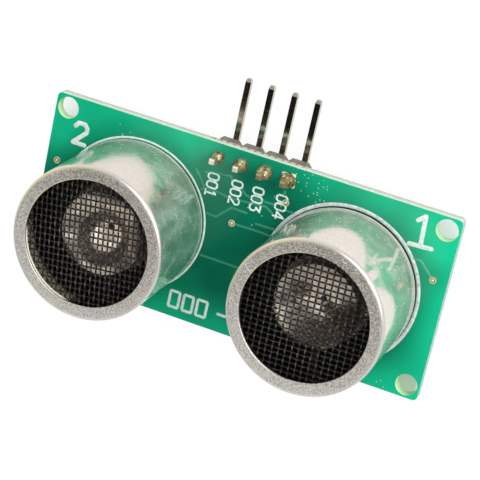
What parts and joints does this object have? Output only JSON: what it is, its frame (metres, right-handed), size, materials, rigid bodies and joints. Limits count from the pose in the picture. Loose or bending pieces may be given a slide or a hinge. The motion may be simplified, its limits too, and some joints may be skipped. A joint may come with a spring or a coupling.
{
  "type": "ultrasonic sensor",
  "caption": "Small ultrasonic ranging module: a circuit board with two open round transducers on its front and a bent pin header on one long edge.",
  "frame": {"origin": "centre of the four-hole mounting pattern, on the board's back face", "axes": "+Z out of the transducers, the way sound leaves; +X along the board to the transmitter; +Y to the edge with the pin header"},
  "size_m": [0.0442, 0.0257, 0.0166],
  "materials": {
    "board": "glossy green solder mask on glass epoxy",
    "black_plastic": "moulded black plastic",
    "tinned_pin": "tin plated",
    "solder": "dull solder with flux",
    "can_aluminium": "drawn, satin mirror",
    "dark_wire": "black woven wire",
    "cone_aluminium": "spun, bright",
    "plate_brass": "rolled, dulled",
    "piezo_ceramic": "fired, matte",
    "silicone": "moulded silicone",
    "lead_wire": "insulated wire",
    "chip_plastic": "moulded epoxy",
    "lead_frame": "tin plated",
    "dark_ceramic": "fired, matte",
    "crystal_metal": "nickel plated lid",
    "resistor_black": "glazed top",
    "capacitor_tan": "fired, satin"
  },
  "bodies": {
    "root": {"circuit_board": "board", "header_body": "black_plastic", "header_pin_1": "tinned_pin", "header_pin_2": "tinned_pin", "header_pin_3": "tinned_pin", "header_pin_4": "tinned_pin", "header_solder_joints": "solder", "receiver_can": "can_aluminium", "receiver_screen": "dark_wire", "receiver_cone": "cone_aluminium", "receiver_vibrator_plate": "plate_brass", "receiver_piezo_disc": "piezo_ceramic", "receiver_silicone_ring": "silicone", "receiver_base": "black_plastic", "receiver_signal_terminal": "tinned_pin", "receiver_case_terminal": "tinned_pin", "receiver_signal_wire": "lead_wire", "receiver_case_wire": "lead_wire", "receiver_solder_joints": "solder", "transmitter_can": "can_aluminium", "transmitter_screen": "dark_wire", "transmitter_cone": "cone_aluminium", "transmitter_vibrator_plate": "plate_brass", "transmitter_piezo_disc": "piezo_ceramic", "transmitter_silicone_ring": "silicone", "transmitter_base": "black_plastic", "transmitter_signal_terminal": "tinned_pin", "transmitter_case_terminal": "tinned_pin", "transmitter_signal_wire": "lead_wire", "transmitter_case_wire": "lead_wire", "transmitter_solder_joints": "solder", "controller_chip": "chip_plastic", "controller_chip_leads": "lead_frame", "amplifier_chip": "chip_plastic", "amplifier_chip_leads": "lead_frame", "driver_chip": "chip_plastic", "driver_chip_leads": "lead_frame", "transistor": "chip_plastic", "transistor_leads": "lead_frame", "crystal_base": "dark_ceramic", "crystal_lid": "crystal_metal", "chip_resistors": "resistor_black", "chip_resistor_ends": "lead_frame", "chip_capacitors": "capacitor_tan", "chip_capacitor_ends": "lead_frame"}
  },
  "joints": []
}
